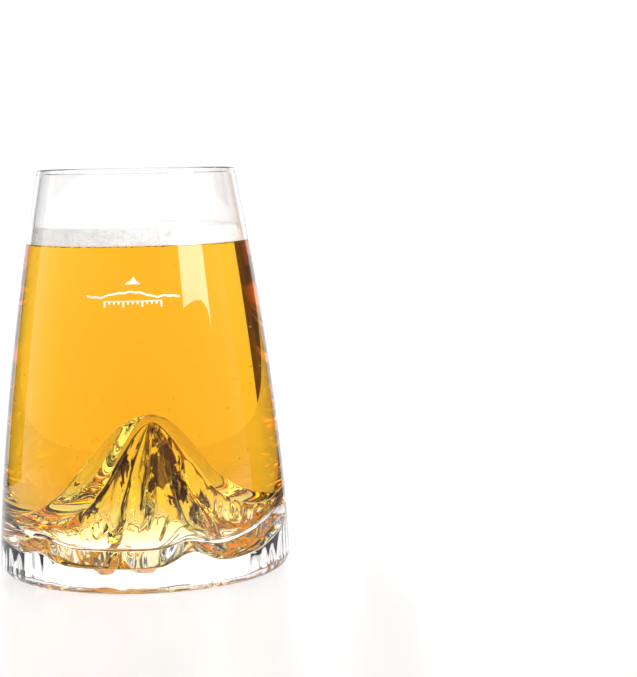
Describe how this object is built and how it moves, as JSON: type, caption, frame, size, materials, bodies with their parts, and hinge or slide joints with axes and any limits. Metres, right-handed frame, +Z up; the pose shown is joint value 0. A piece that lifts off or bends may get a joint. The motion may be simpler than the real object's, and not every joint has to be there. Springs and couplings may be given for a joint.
{
  "type": "beer glass",
  "caption": "Tapered half-litre beer glass with a hollow mountain relief pressed up through its base, poured with beer and a thin head of foam.",
  "frame": {"origin": "centre of the foot ring, on the plane that the glass stands on", "axes": "+Z up along the glass, towards the rim; the enamel mark faces -Y"},
  "size_m": [0.098, 0.098, 0.135],
  "materials": {
    "clear_glass": "clear, fire-polished soda-lime glass",
    "beer": "clear golden lager, a transparent liquid",
    "foam": "fine white beer foam",
    "white_enamel": "fired white enamel print"
  },
  "bodies": {
    "root": {"glass": "clear_glass", "beer": "beer", "foam_head": "foam", "print_summit": "white_enamel", "print_ridge": "white_enamel", "print_scale": "white_enamel"}
  },
  "joints": []
}
